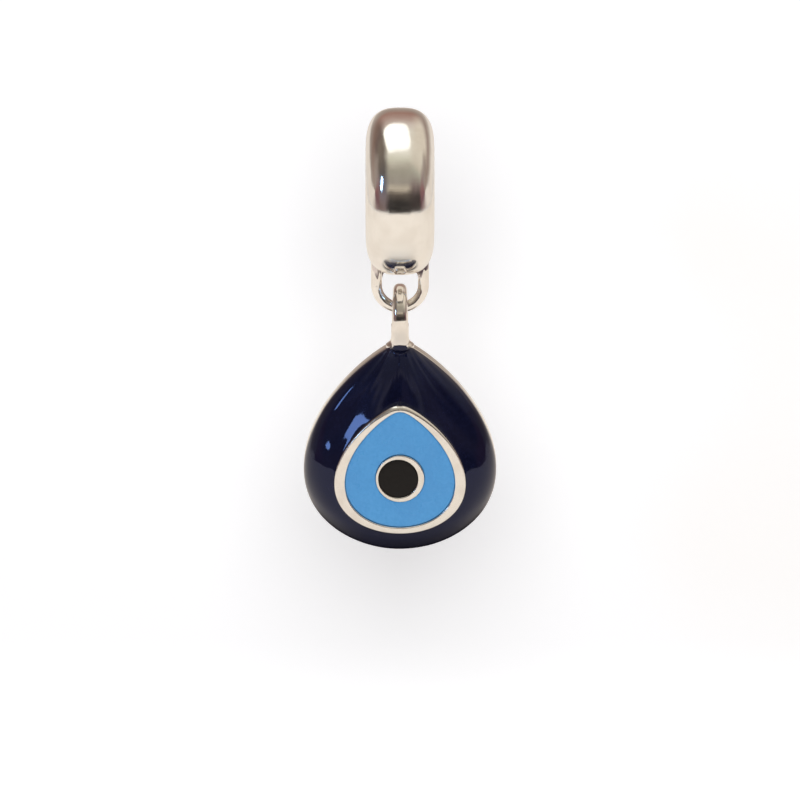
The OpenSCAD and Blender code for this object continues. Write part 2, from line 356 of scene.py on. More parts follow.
def recipe_tree(name, sizes, recipe, along_n, round_n, material, seed=None):
    """A grid shaped by a recipe, and with a seed also pushed by its streaks and ridges."""
    tree, entry = new_tree(name, "Geometry", sizes)
    words = {word: entry.outputs[word] for word in sizes}
    grid = add(tree, "GeometryNodeMeshGrid", {
        "Size X": 1.0, "Size Y": 1.0, "Vertices X": along_n, "Vertices Y": round_n})
    parts = add(tree, "ShaderNodeSeparateXYZ", {0: add(tree, "GeometryNodeInputPosition")})
    words["along"] = add(tree, "ShaderNodeMath", {0: parts.outputs[0], 1: 0.5})
    words["round"] = add(tree, "ShaderNodeMath", {0: parts.outputs[1], 1: 0.5})
    work_out(tree, recipe, words)
    if seed is not None:
        where = add(tree, "ShaderNodeCombineXYZ", {
            0: words["streak"], 1: words["down"], 2: seed})
        streaks = add(tree, "ShaderNodeTexNoise", {"Vector": where, "Scale": 1.0, "Detail": 1.0})
        swing = add(tree, "ShaderNodeMath", {0: streaks, 1: 0.5}, operation="SUBTRACT")
        lift = add(tree, "ShaderNodeMath", {0: swing, 1: words["fade"], 2: words["ridge"]},
                   operation="MULTIPLY_ADD")
        grid = add(tree, "GeometryNodeStoreNamedAttribute", {
            "Geometry": grid, "Name": "lift", "Value": lift})
    spot = add(tree, "ShaderNodeCombineXYZ", {0: words["x"], 1: words["y"], 2: words["z"]})
    metres = add(tree, "ShaderNodeVectorMath", {0: spot, 3: MM}, operation="SCALE")
    shape = add(tree, "GeometryNodeSetPosition", {"Geometry": grid, "Position": metres})
    shape = add(tree, "GeometryNodeMergeByDistance", {"Geometry": shape, "Distance": 1e-7})
    if seed is not None:
        stored = add(tree, "GeometryNodeInputNamedAttribute", {"Name": "lift"})
        push = add(tree, "ShaderNodeVectorMath", {
            0: add(tree, "GeometryNodeInputNormal"), 3: stored}, operation="SCALE")
        shape = add(tree, "GeometryNodeSetPosition", {"Geometry": shape, "Offset": push})
        shape = add(tree, "GeometryNodeRemoveAttribute", {"Geometry": shape, "Name": "lift"})
    return end_tree(tree, shape, material)


def grow(name, tree, sizes, source=None):
    """Run a tree once on an object and keep what it makes as a plain mesh."""
    piece = bpy.data.objects.new(name, source or bpy.data.meshes.new(name))
    scene.collection.objects.link(piece)
    modifier = piece.modifiers.new(name, "NODES")
    modifier.node_group = tree
    for item in tree.interface.items_tree:
        if item.in_out == "INPUT" and item.name in sizes:
            modifier[item.identifier] = float(sizes[item.name])
    shaped = piece.evaluated_get(bpy.context.evaluated_depsgraph_get())
    made = bpy.data.meshes.new_from_object(shaped)
    piece.modifiers.remove(modifier)
    piece.data = made
    return piece


print("every recipe starts from along and round, which run from 0 to 1")

# %% [markdown]
# ## The bail bead
# The bead is a hollow silver barrel, pressed in two halves and soldered, that threads on
# to the bracelet. It could be a ring with a bevel, but a bevel's reflections break where
# its arc starts. A barrel like this one has no such line: its section is a squared-off
# ellipse, so a recipe turns that one curve round the bore, and its two open edges are
# bridged to make the hole.

# %% Bead
BEAD_CORE = 2.3
BEAD_SQUARENESS = 2.8
bead_sizes = {
    "Core": BEAD_CORE,
    "Rise": bead_high[2] - BEAD_CORE,
    "Half_Width": bead_high[0],
    "Squareness": BEAD_SQUARENESS,
    "Start": math.atan2(liner_high[2] - BEAD_CORE, bead_high[2] - BEAD_CORE),
}
BEAD_RECIPE = """
span      MULTIPLY  Start -2
span_pi   ADD       span 3.14159265
along_arc MULTIPLY  along span_pi
angle     ADD       along_arc Start
c         COSINE    angle
s         SINE      angle
abs_c     ABSOLUTE  c
c_power   POWER     abs_c Squareness
s_power   POWER     s Squareness
powers    ADD       c_power s_power
inverse   DIVIDE    1 Squareness
norm      POWER     powers inverse
across    DIVIDE    c norm
up        DIVIDE    s norm
x         MULTIPLY  across Half_Width
rise      MULTIPLY  up Rise
radius    ADD       rise Core
turn      MULTIPLY  round 6.28318531
turn_s    SINE      turn
turn_c    COSINE    turn
y         MULTIPLY  radius turn_s
z         MULTIPLY  radius turn_c
"""
bead_tree = recipe_tree("turned_barrel", bead_sizes, BEAD_RECIPE, 81, 257, buffed_silver)
bead = grow("bead", bead_tree, bead_sizes)
work = bmesh.new()
work.from_mesh(bead.data)
ends = [e for e in work.edges if e.is_boundary]
bmesh.ops.bridge_loops(work, edges=ends)
work.to_mesh(bead.data)
work.free()
finish(bead, "bail", "bail_bead")

# %% [markdown]
# ## The core tube
# A plain drawn tube lines the bore, and the barrel's edges are rolled down on to it. Only
# its lips show, so its section is a short rectangle with rounded corners, turned round.

# %% Core tube
TURN = np.linspace(0, 2 * np.pi, 192, endpoint=False)


def turned(name, section, material):
    """Turn a closed section of (along the bore, radius) points round the bore."""
    rings = [[(x, r * math.sin(a), r * math.cos(a)) for a in TURN] for x, r in section]
    return ring_stack(name, rings, material, looped=True)


def rounded_box(half_length, inner, outer, corner, steps=6):
    section = []
    for sx, sr, start in ((1, 1, 0), (-1, 1, 90), (-1, -1, 180), (1, -1, 270)):
        for k in range(steps + 1):
            a = math.radians(start + 90 * k / steps)
            middle = outer - corner if sr > 0 else inner + corner
            section.append((sx * (half_length - corner) + corner * math.cos(a),
                            middle + corner * math.sin(a)))
    return section


LIP_ROUND = 0.09
bore_r = frame["record"]["mounts"][0]["dims"]["r_mm"]
tube_section = rounded_box(liner_high[0], bore_r, liner_high[2], LIP_ROUND)
tube = turned("core_tube", tube_section, tube_silver)
finish(tube, "bail", "bead_liner")

# %% [markdown]
# ## The wire loop
# The loop is round silver wire bent to a U, its legs soldered to the bead. Wire is a
# circle carried along a path, and that is what Curve to Mesh does, so the tree takes the
# path as its geometry and the wire's radius as its size.

# %% Wire loop
wire_r = loop_high[1]
leg_x = loop_high[0] - wire_r
bend_z = swing_z + leg_x
LEG_TOP = -4.1

wire_tree, entry = new_tree("wire_along_path", "Path", ["Radius"])
path = add(wire_tree, "GeometryNodeMeshToCurve", {"Mesh": entry.outputs["Path"]})
profile = add(wire_tree, "GeometryNodeCurvePrimitiveCircle", {
    "Resolution": 40, "Radius": entry.outputs["Radius"]})
swept = add(wire_tree, "GeometryNodeCurveToMesh", {
    "Curve": path, "Profile Curve": profile.outputs["Curve"], "Fill Caps": True})
end_tree(wire_tree, swept, cast_silver)

bend = np.linspace(np.pi, 2 * np.pi, 97)
path_points = [(-leg_x, 0, z) for z in np.linspace(LEG_TOP, bend_z, 12)[:-1]]
path_points += [(leg_x * math.cos(a), 0, bend_z + leg_x * math.sin(a)) for a in bend]
path_points += [(leg_x, 0, z) for z in np.linspace(bend_z, LEG_TOP, 12)[1:]]
path_mesh = bpy.data.meshes.new("loop_path")
path_edges = [(i, i + 1) for i in range(len(path_points) - 1)]
path_mesh.from_pydata([tuple(np.array(p) * MM) for p in path_points], path_edges, [])
loop = grow("wire_loop", wire_tree, {"Radius": wire_r * MM}, path_mesh)
finish(loop, "bail", "bail_loop")

# %% [markdown]
# ## The solder
# Solder creeps up the wire and out over the bead before it sets, so it makes a small
# hollow-sided collar with uneven lumps. Each collar is a stack of rings round its leg, and
# a gentle noise pushes the rings in and out.

# %% Solder collars
def barrel_radius(x):
    """Radius of the bead's barrel at a distance along the bore."""
    share = min(abs(x) / bead_high[0], 1)
    rise = bead_high[2] - BEAD_CORE
    return BEAD_CORE + rise * (1 - share ** BEAD_SQUARENESS) ** (1 / BEAD_SQUARENESS)


def barrel_underside(x, y):
    return -math.sqrt(max(barrel_radius(x) ** 2 - y ** 2, 0))


COLLAR_SPREAD = 0.24
COLLAR_HEIGHT = 0.72
LUMP = 0.3
EDGE_X = 1.84
SINK = 0.04
BITE = 0.006
COLLAR_RINGS = 11
work = bmesh.new()
for side in (-1, 1):
    rings = [[] for _ in range(COLLAR_RINGS)]
    for a in np.linspace(0, 2 * np.pi, 64, endpoint=False):
        out_x, out_y = math.cos(a), math.sin(a)
        lump = LUMP * noise.noise(Vector((side * 5 + 2 * out_x, 2 * out_y, 0.4)))
        spread = wire_r + COLLAR_SPREAD + lump
        end_x = min(leg_x + spread * out_x * side, EDGE_X)
        end_z = barrel_underside(end_x, spread * out_y) + SINK
        near_x = min(leg_x + wire_r * out_x * side, EDGE_X)
        start_z = barrel_underside(near_x, 0) - COLLAR_HEIGHT * (0.8 + 2.5 * lump)
        for k, ring in enumerate(rings):
            turn = k / (COLLAR_RINGS - 1) * math.pi / 2
            share = 1 - math.cos(turn)
            r = wire_r - BITE + (spread - wire_r + BITE) * share
            z = start_z + (end_z - start_z) * math.sin(turn)
            x = side * min(leg_x + r * out_x * side, EDGE_X + 0.05)
            ring.append((x, r * out_y, z))
    collar = ring_stack("solder_side", rings, solder_silver)
    work.from_mesh(collar.data)
    bpy.data.objects.remove(collar)
solder = write_mesh("solder", [], [], solder_silver)
work.to_mesh(solder.data)
work.free()
finish(solder, "bail", "loop_solder")

# %% [markdown]
# ## The eyelet
# The eyelet is cast in one with its foot. Seen from the side it is a ring whose front runs
# down into a sloping neck, and a root goes on down behind the enamel's lip. The whole
# outline has one rounded thickness, and melts into a trumpet-shaped base. Joining a torus
# and a cone leaves a hard seam that a casting never has. Here the shapes are written as
# distances, a voxel remesh of rough blocks, a little too narrow, gives a skin, and each
# point of the skin is then slid on to the exact surface, which leaves the metal as smooth
# as polishing would.

# %% Eyelet
eyelet_r = eyelet_high[1]
eyelet_z = eyelet_high[2] - eyelet_r
hole_r = 0.75
ring_mid = (eyelet_r + hole_r) / 2
ring_half = (eyelet_r - hole_r) / 2
HALF_FOOT = 0.46
HALF_TOP = 0.37
FOOT_Y = 0.5
FOOT_R = 0.8
FOOT_FLARE = 0.66
FOOT_TOP = 1.2
FOOT_SUNK = 0.6
SEAT_Z = navy_high[2]
MELT = 0.16
NECK_TILT = math.radians(25)
NECK_BACK = 1.1
NECK_TOP = -0.3
NECK_LOW = SEAT_Z + 0.47 - eyelet_z
ROOT_FRONT = -0.98
ROOT_TOP = NECK_LOW + 0.2
ROOT_LOW = SEAT_Z + 0.2 - eyelet_z
EDGE_TOP = 0.3
EDGE_LOW = 0.16
print("eyelet ring", round(2 * eyelet_r, 2), "mm across, its hole", 2 * hole_r, "mm")

# %% The eyelet as distances
def foot_distance(p):
    height = p[:, 2] - SEAT_Z
    up = np.clip(height, 0, FOOT_FLARE)
    neck = HALF_FOOT + FOOT_FLARE - np.sqrt(FOOT_FLARE ** 2 - (FOOT_FLARE - up) ** 2)
    reach = np.hypot(p[:, 0], p[:, 1] - FOOT_Y) - np.minimum(neck, FOOT_R)
    return np.maximum(reach, np.maximum(height - FOOT_TOP, -FOOT_SUNK - height))


def melt(a, b, width):
    """The smaller of two distances, with the corner between them filled."""
    mix = np.clip(0.5 + 0.5 * (b - a) / width, 0, 1)
    return b + (a - b) * mix - width * mix * (1 - mix)


def side_distance(y, z):
    """The eyelet seen from its side: a ring whose front runs down into a sloping neck."""
    far = np.hypot(y, z)
    ring = np.abs(far - ring_mid) - ring_half
    slope = -math.cos(NECK_TILT) * y - math.sin(NECK_TILT) * z - eyelet_r
    front = np.where(z > -eyelet_r * math.sin(NECK_TILT), far - eyelet_r, slope)
    neck = np.maximum.reduce([front, y - NECK_BACK, z - NECK_TOP, NECK_LOW - z, hole_r - far])
    root = np.maximum.reduce([ROOT_FRONT - y, y - NECK_BACK, z - ROOT_TOP, ROOT_LOW - z])
    return np.minimum(np.minimum(ring, neck), root)


def eyelet_distance(p):
    z = p[:, 2] - eyelet_z
    rise = np.clip(z / eyelet_r, -1, 1)
    half = HALF_FOOT + (HALF_TOP - HALF_FOOT) * np.clip(rise, 0, 1)
    edge = EDGE_TOP + (EDGE_LOW - EDGE_TOP) * np.clip(-rise * 2, 0, 1)
    out = side_distance(p[:, 1], z) + edge
    across = np.abs(p[:, 0]) - half + edge
    corner = np.hypot(np.maximum(out, 0), np.maximum(across, 0))
    body = corner + np.minimum(np.maximum(out, across), 0) - edge
    return melt(body, foot_distance(p), MELT)


ring_top = np.array([[0, 0, eyelet_z + ring_mid]])
print("inside the ring's top the distance is", round(float(eyelet_distance(ring_top)[0]), 3), "mm")

# %% The eyelet's rough blocks
VOXEL = 0.045
SIDES_N = 64
ROUGH_INSET = 0.96
ROUGH_TIP_R = 0.48
ROUGH_LAP = 0.15
WIDE_ABOVE = 0.4
rough = bmesh.new()
bmesh.ops.create_cone(
    rough, cap_ends=True, segments=48, radius1=FOOT_R, radius2=ROUGH_TIP_R,
    depth=FOOT_TOP + FOOT_SUNK,
    matrix=Matrix.Translation((0, FOOT_Y, SEAT_Z + (FOOT_TOP - FOOT_SUNK) / 2)))
turns = np.linspace(0, 2 * np.pi, SIDES_N, endpoint=False)
for a, b in zip(turns, np.roll(turns, -1)):
    block = bmesh.ops.create_cube(rough, size=1)["verts"]
    for vert in block:
        angle = b if vert.co.y > 0 else a
        far = ring_mid + 2 * vert.co.z * ring_half
        wide = HALF_TOP if math.cos(angle) > WIDE_ABOVE else HALF_FOOT
        half = 2 * vert.co.x * wide * ROUGH_INSET
        vert.co = (half, far * math.sin(angle), eyelet_z + far * math.cos(angle))
touch_y = -eyelet_r * math.cos(NECK_TILT)
touch_z = -eyelet_r * math.sin(NECK_TILT)
toe_y = touch_y - (NECK_LOW - touch_z) * math.tan(NECK_TILT)
for (top_y, top_z), (foot_y, foot_z) in (
        ((touch_y, touch_z - ROUGH_LAP), (toe_y, NECK_LOW)),
        ((ROOT_FRONT, ROOT_TOP), (ROOT_FRONT, ROOT_LOW))):
    block = bmesh.ops.create_cube(rough, size=1)["verts"]
    for vert in block:
        front_y, z = (top_y, top_z) if vert.co.z > 0 else (foot_y, foot_z)
        vert.co = (2 * vert.co.x * HALF_FOOT * ROUGH_INSET,
                   front_y if vert.co.y < 0 else NECK_BACK, eyelet_z + z)
bmesh.ops.recalc_face_normals(rough, faces=rough.faces)
eyelet = write_mesh("eyelet_casting", [], [], cast_silver)
rough.to_mesh(eyelet.data)
rough.free()
print("rough blocks have", len(eyelet.data.vertices), "points")

# %% The eyelet's skin
remesh = eyelet.modifiers.new("skin", "REMESH")
remesh.mode = "VOXEL"
remesh.voxel_size = VOXEL
skin = bpy.data.meshes.new_from_object(
    eyelet.evaluated_get(bpy.context.evaluated_depsgraph_get()))
eyelet.modifiers.remove(remesh)
points = np.empty(len(skin.vertices) * 3)
skin.vertices.foreach_get("co", points)
points = points.reshape(-1, 3)
STEP = 1e-4
LONGEST_SLIDE = 0.08
LEAST_SLOPE = 0.05
for _ in range(12):
    here = eyelet_distance(points)
    slope = np.stack([
        (eyelet_distance(points + STEP * axis) - eyelet_distance(points - STEP * axis)) / (2 * STEP)
        for axis in np.eye(3)], axis=1)
    size = np.maximum((slope ** 2).sum(1), LEAST_SLOPE)
    points -= np.clip(here / size, -LONGEST_SLIDE, LONGEST_SLIDE)[:, None] * slope
skin.vertices.foreach_set("co", (points * MM).ravel())
skin.materials.clear()
skin.materials.append(cast_silver)
eyelet.data = skin
print("eyelet off its surface by", float(np.abs(eyelet_distance(points)).max()), "mm")
finish(eyelet, "drop", "eyelet")

# %% [markdown]
# ## The drop's outline
# The drop, the eye in it and the sky-blue field are the same kind of teardrop. Going round
# by an angle u, its height is a cosine, and its half width is a sine times a power of
# sin(u/2), which draws the top in to a point. The power is the taper: none gives an
# ellipse. A line below is (half width, top, bottom, taper).

# %% Outlines
ROUND_N = 256
ROUND = np.linspace(0, 2 * np.pi, ROUND_N, endpoint=False)
SEAT_DROP = 0.3
DROP_TAPER = 0.61
SKY_TAPER = 0.66
TIP_LIFT = 0.6


def inset(line, t):
    return (line[0] - t, line[1] - t * math.sqrt(2), line[2] + t, line[3])


def teardrop(line, y, tip=0.0):
    """One ring of an outline at a depth. A tip above none rounds the point."""
    half, top, bottom, taper = line
    widest = 2 * (taper + 1) ** ((taper + 1) / 2) / (taper + 2) ** ((taper + 2) / 2)
    x = half / widest * np.sin(ROUND) * np.abs(np.sin(ROUND / 2)) ** taper
    z = (top + bottom) / 2 + (top - bottom) / 2 * np.cos(ROUND)
    z = top + TIP_LIFT * tip - np.hypot(top - z, tip)
    return np.stack([x, np.full(ROUND_N, float(y)), z], axis=1)


def circle(radius, middle_x, middle_z, y):
    return np.stack([middle_x + radius * np.sin(ROUND), np.full(ROUND_N, float(y)),
                     middle_z + radius * np.cos(ROUND)], axis=1)


drop_line = (cup_high[0], SEAT_Z + SEAT_DROP, cup_low[2], DROP_TAPER)
eye_line = (bezel_high[0], bezel_high[2], bezel_low[2], DROP_TAPER)
sky_line = (sky_high[0], sky_high[2], sky_low[2], SKY_TAPER)
girdle_y = cup_low[1]
print("drop", np.round(drop_line, 2), "eye", np.round(eye_line, 2))

# %% [markdown]
# ## The cup
# The back of the drop is a shallow silver cup: a flat back, a rounded edge and a rim that
# the enamel meets. It is the outline again and again, each ring a little further in or
# back, and its rim is eased so that it catches a thin line of light.

# %% Back cup
BACK_ROUND = 0.8
back_y = cup_high[1]
cup_steps = [(4.9, girdle_y + 0.1), (2.5, girdle_y + 0.1), (0.6, girdle_y + 0.1),
             (0.5, girdle_y + 0.02), (0.12, girdle_y + 0.02), (0.05, girdle_y + 0.03),
             (0.015, girdle_y + 0.06), (0.0, girdle_y + 0.12), (0.0, girdle_y + 0.4),
             (0.0, back_y - BACK_ROUND - 0.1)]
cup_steps += [(BACK_ROUND * u, back_y - BACK_ROUND * v) for u, v in quarter(19)]
cup_steps += [(t, back_y) for t in (0.86, 1.0, 1.5, 2.2, 3.0, 3.8, 4.5, 4.9)]
cup = ring_stack("back_cup", [teardrop(inset(drop_line, t), y) for t, y in cup_steps],
                 buffed_silver)
finish(cup, "drop", "drop_back")

# %% [markdown]
# ## The navy enamel
# The enamel runs from the cup's rim up to the eye as one tight dome. It could be sculpted,
# but a melted skin like this obeys a rule: each ring is part drop outline and part eye
# outline, and comes forward along an arc. The recipe below is that rule. It lays the
# outside, turns back along the underside, and so closes the shell. Enamel also creeps up
# the metal that it touches, and a small lip of it, here the nose, stands out in front of
# the eyelet's foot. It was poured from there, which leaves faint flutes and ridges that
# fan out and fade: a cosine of the angle makes the ridges, and a stretched noise the rest.
# In the recipe u is the angle round, and p and q give the outline's widest point.

# %% Sizes of the navy enamel
ENAMEL_ROWS = 60
navy_sizes = {
    "Half_Width": drop_line[0], "Top": drop_line[1], "Bottom": drop_line[2],
    "Eye_Half": eye_line[0] - 0.12, "Eye_Top": eye_line[1] - 0.24,
    "Eye_Bottom": eye_line[2] + 0.12,
    "Taper": DROP_TAPER, "Blunt": -0.2, "Turn": math.radians(70),
    "Girdle": girdle_y, "Tip_Reach": 1.5, "Low_Reach": 2.1, "Thickness": 0.35,
    "Creep": 0.1, "Creep_Power": 26, "Fan_Above": 0.6, "Flute": 0.3, "Flute_Count": 7,
    "Flute_Fade": -0.2, "Ridge": 0.0098, "Ridge_Count": 10.4, "Ridge_Length": 5.4,
    "Rows": ENAMEL_ROWS,
    "Nose_Y": -1.25, "Nose_Low": 0.44, "Nose_Wide": 0.5, "Nose_Arch": -0.9,
    "Nose_Soft": 0.02, "Nose_Slope": 0.4, "Nose_Corner": 0.15, "Nose_Half": 0.46,
    "Nose_Rise": 0.2,
}
print("dome turns", round(math.degrees(navy_sizes["Turn"])), "degrees from rim to eye")

# %% Navy enamel
NAVY_RECIPE = """
loop_rows  MULTIPLY_ADD Rows 2 2
row_raw    MULTIPLY along loop_rows
row_near   ADD      row_raw 0.25
row_floor  FLOOR    row_near
row        FLOORED_MODULO row_floor loop_rows
edge       ADD      Rows 0.5
under      GREATER_THAN row edge
share_out  DIVIDE   row Rows
last       ADD      Rows 1
back_rows  ADD      last Rows
row_back   SUBTRACT back_rows row
share_in   DIVIDE   row_back Rows
share_gap  SUBTRACT share_in share_out
share      MULTIPLY_ADD share_gap under share_out
sunk       MULTIPLY under Thickness
turn       MULTIPLY share Turn
turn_c     COSINE   turn
turn_left  SUBTRACT 1 turn_c
full_c     COSINE   Turn
full_left  SUBTRACT 1 full_c
inward     DIVIDE   turn_left full_left
turn_s     SINE     turn
full_s     SINE     Turn
forward    DIVIDE   turn_s full_s
half_turn  MULTIPLY share 3.14159265
swell      SINE     half_turn
taper      MULTIPLY_ADD swell Blunt Taper
p          ADD      taper 1
q          ADD      taper 2
p_half     DIVIDE   p 2
q_half     DIVIDE   q 2
p_part     POWER    p p_half
q_part     POWER    q q_half
ratio      DIVIDE   p_part q_part
widest     MULTIPLY ratio 2
u          MULTIPLY round 6.28318531
u_half     MULTIPLY round 3.14159265
u_s        SINE     u
u_c        COSINE   u
h_s        SINE     u_half
h_abs      ABSOLUTE h_s
h_power    POWER    h_abs taper
lobe       MULTIPLY u_s h_power
unit_x     DIVIDE   lobe widest
rim_half   SUBTRACT Half_Width sunk
half_gap   SUBTRACT Eye_Half rim_half
half       MULTIPLY_ADD half_gap inward rim_half
x_smooth   MULTIPLY unit_x half
rim_top    MULTIPLY_ADD sunk -1.41421356 Top
rim_low    ADD      Bottom sunk
top_gap    SUBTRACT Eye_Top rim_top
top        MULTIPLY_ADD top_gap inward rim_top
low_gap    SUBTRACT Eye_Bottom rim_low
low        MULTIPLY_ADD low_gap inward rim_low
tall       SUBTRACT top low
tall_half  DIVIDE   tall 2
sum_z      ADD      top low
mid_z      DIVIDE   sum_z 2
z_smooth   MULTIPLY_ADD tall_half u_c mid_z
reach_gap  SUBTRACT Low_Reach Tip_Reach
reach_top  MULTIPLY_ADD reach_gap h_abs Tip_Reach
reach      SUBTRACT reach_top sunk
depth      ADD      reach Girdle
climb      POWER    share Creep_Power
outer      SUBTRACT 1 under
creep      MULTIPLY climb outer
creep_mm   MULTIPLY creep Creep
y_dome     MULTIPLY depth forward
y_front    SUBTRACT Girdle y_dome
y_smooth   SUBTRACT y_front creep_mm
below      SUBTRACT Top z_smooth
nose_sq    MULTIPLY x_smooth x_smooth
nose_floor MULTIPLY_ADD nose_sq Nose_Arch Nose_Low
nose_drop  SUBTRACT below nose_floor
nose_rate  DIVIDE   nose_drop Nose_Soft
nose_up    EXPONENT nose_rate
nose_sum   ADD      nose_up 1
nose_high  DIVIDE   outer nose_sum
nose_x     DIVIDE   x_smooth Nose_Wide
nose_x_abs ABSOLUTE nose_x
nose_x_4   POWER    nose_x_abs 4
nose_fall  MULTIPLY nose_x_4 -1
nose_mid   EXPONENT nose_fall
nose       MULTIPLY nose_high nose_mid
nose_slope MULTIPLY_ADD below Nose_Slope Nose_Y
nose_gap   SUBTRACT nose_slope y_smooth
y          MULTIPLY_ADD nose_gap nose y_smooth
nose_way   DIVIDE   x_smooth Nose_Corner
nose_side  TANH     nose_way
nose_wing  MULTIPLY nose_side Nose_Half
nose_shift SUBTRACT nose_wing x_smooth
x          MULTIPLY_ADD nose_shift nose x_smooth
z          MULTIPLY_ADD nose Nose_Rise z_smooth
below_far  ADD      below Fan_Above
fan        ARCTAN2  x_smooth below_far
streak     MULTIPLY fan Flute_Count
down       MULTIPLY below 0.25
fade_pow   MULTIPLY below Flute_Fade
fade_exp   EXPONENT fade_pow
rim_swell  MULTIPLY swell outer
fade_mm    MULTIPLY fade_exp rim_swell
fade_size  MULTIPLY fade_mm Flute
fade       MULTIPLY fade_size 0.001
reach_way  DIVIDE   below Ridge_Length
reach_pow  POWER    reach_way 6
reach_neg  MULTIPLY reach_pow -1
reach_fade EXPONENT reach_neg
ridge_size MULTIPLY below_far below_far
ridge_high MULTIPLY ridge_size Ridge
ridge_fade MULTIPLY ridge_high reach_fade
ridge_rim  MULTIPLY ridge_fade forward
ridge_out  MULTIPLY ridge_rim outer
ridge_turn MULTIPLY fan Ridge_Count
ridge_wave COSINE   ridge_turn
ridge_mm   MULTIPLY ridge_wave ridge_out
ridge      MULTIPLY ridge_mm -0.001
"""
navy_tree = recipe_tree("poured_dome", navy_sizes, NAVY_RECIPE, 2 * ENAMEL_ROWS + 3,
                        ROUND_N + 1, navy_glass, seed=3.0)
navy = grow("navy_dome", navy_tree, navy_sizes)
finish(navy, "drop", "navy_enamel")

# %% [markdown]
# ## The raised eye
# The eye's silver rim is the top edge of a little cup, lapped flat after the enamel was
# fired. Its ring is part eye outline and part sky outline, so a section of (share of the
# way in, depth) pairs makes the wall, the flat and the eased edges in one stack. The edge
# is eased more at the eye's point, where the lap ran over it.

# %% Eye bezel
def between(first, second, weight):
    return [a * (1 - weight) + b * weight for a, b in zip(first, second)]


face_y = bezel_low[1]
cell_y = face_y + 0.3
EASE = 0.07
TIP_EASE = 0.26
EYE_TIP = 0.16
SKY_TIP = 0.14
outer_edge = teardrop(eye_line, 0, EYE_TIP)
inner_edge = teardrop(sky_line, 0, SKY_TIP)
width = np.linalg.norm(inner_edge - outer_edge, axis=1)
ease = EASE + (TIP_EASE - EASE) * np.abs(np.cos(ROUND / 2)) ** 10
full = np.ones(ROUND_N)
bezel_section = [(0 * full, bezel_high[1] * full), (0 * full, -1.4 * full),
                 (0 * full, face_y + 1.2 * ease)]
bezel_section += [(ease * u / width, face_y + ease * v) for u, v in quarter(10)]
inside = EASE / width
for part in (0.25, 0.5, 0.75):
    start = ease / width
    bezel_section.append((start + (1 - inside - start) * part, face_y * full))
bezel_section += [(1 - inside * u, full * (face_y + EASE * v)) for u, v in quarter(7, back=True)]
bezel_section += [(full, (face_y + 2 * EASE) * full), (full, cell_y * full)]
bezel_rings = []
for share, depth in bezel_section:
    ring = outer_edge + (inner_edge - outer_edge) * share[:, None]
    ring[:, 1] = depth
    bezel_rings.append(ring)
bezel = ring_stack("eye_rim", bezel_rings, lapped_silver)
finish(bezel, "drop", "eye_bezel")

# %% [markdown]
# ## The sky-blue field
# Opaque enamel fills the cell. It shrinks a little as it cools, so it stands a hair below
# the silver and rounds off towards it, and the fine dark line round it is that groove.

# %% Sky enamel
pupil_r = ring_high[0]
pupil_z = (ring_low[2] + ring_high[2]) / 2
sky_y = sky_low[1]
GROOVE = 0.12
GROOVE_SHARE = 0.05
sky_section = [(0, cell_y)]
sky_section += [(GROOVE_SHARE * u, sky_y + GROOVE * v) for u, v in quarter(7)]
sky_section += [(s, sky_y) for s in (0.12, 0.25, 0.4, 0.55, 0.7, 0.85)]
sky_section += [(1 - GROOVE_SHARE * u, sky_y + GROOVE * v) for u, v in quarter(7, back=True)]
sky_section += [(1, cell_y)]
sky_rings = [
    np.array(between(teardrop(sky_line, y, SKY_TIP), circle(pupil_r, 0, pupil_z, y), share))
    for share, y in sky_section]
sky = ring_stack("sky_field", sky_rings, sky_glass, looped=True)
finish(sky, "drop", "sky_enamel")

# %% [markdown]
# ## The pupil
# A short silver tube set by hand holds the black enamel, and it sits slightly to the left
# in its wall, so the rim is wider on the right. Its section is the rim's again, between
# two circles with different middles.

# %% Pupil ring and black enamel
hole_x = (black_low[0] + black_high[0]) / 2
black_r = (black_high[0] - black_low[0]) / 2
PUPIL_EASE = 0.05
EASE_SHARE = 0.2
WALL_TOP = face_y + 0.12
ring_section = [(0, cell_y), (0, WALL_TOP)]
ring_section += [(EASE_SHARE * u, face_y + PUPIL_EASE * v) for u, v in quarter(6)]
ring_section += [(0.5, face_y)]
ring_section += [(1 - EASE_SHARE * u, face_y + PUPIL_EASE * v) for u, v in quarter(6, back=True)]
ring_section += [(1, WALL_TOP), (1, cell_y)]
pupil_rings = [np.array(between(circle(pupil_r, 0, pupil_z, y),
                                circle(black_r, hole_x, pupil_z, y), share))
               for share, y in ring_section]
pupil = ring_stack("pupil_rim", pupil_rings, lapped_silver, looped=True)
finish(pupil, "drop", "pupil_ring")

black_y = black_low[1]
black_section = [(0.02, cell_y), (1, cell_y), (1, black_y + 0.08), (0.985, black_y + 0.03),
                 (0.95, black_y + 0.008), (0.9, black_y), (0.7, black_y - 0.004),
                 (0.5, black_y - 0.006), (0.25, black_y - 0.008), (0.02, black_y - 0.008)]
black = ring_stack("black_dot",
                   [circle(black_r * share, hole_x, pupil_z, y) for share, y in black_section],
                   black_glass)
finish(black, "drop", "pupil_enamel")

# %% [markdown]
# ## The plate under the enamel
# The silver plate that carries the navy enamel is right as the CAD has it, and it only
# shows if the enamel is taken away, so it stays and gets the buffed silver.

# %% Carried-over plate
plate = frame["nodes"]["drop_front"]
plate.data.materials.clear()
plate.data.materials.append(buffed_silver)
print("plate carries", plate.data.materials[0].name)

# %% [markdown]
# ## The set: paper, lights and room
# Polished silver shows the room, so the room is part of the look. A photograph of a room
# could light it, but a few painted tones are plainer and need no file. The world paints
# them by direction: colour ramps run from the floor in front up over the ceiling and down
# behind, one for each side, and mix across. A pale table fills the bottom, and a bright
# patch with soft edges stands for the softbox overhead. The camera itself sees white.

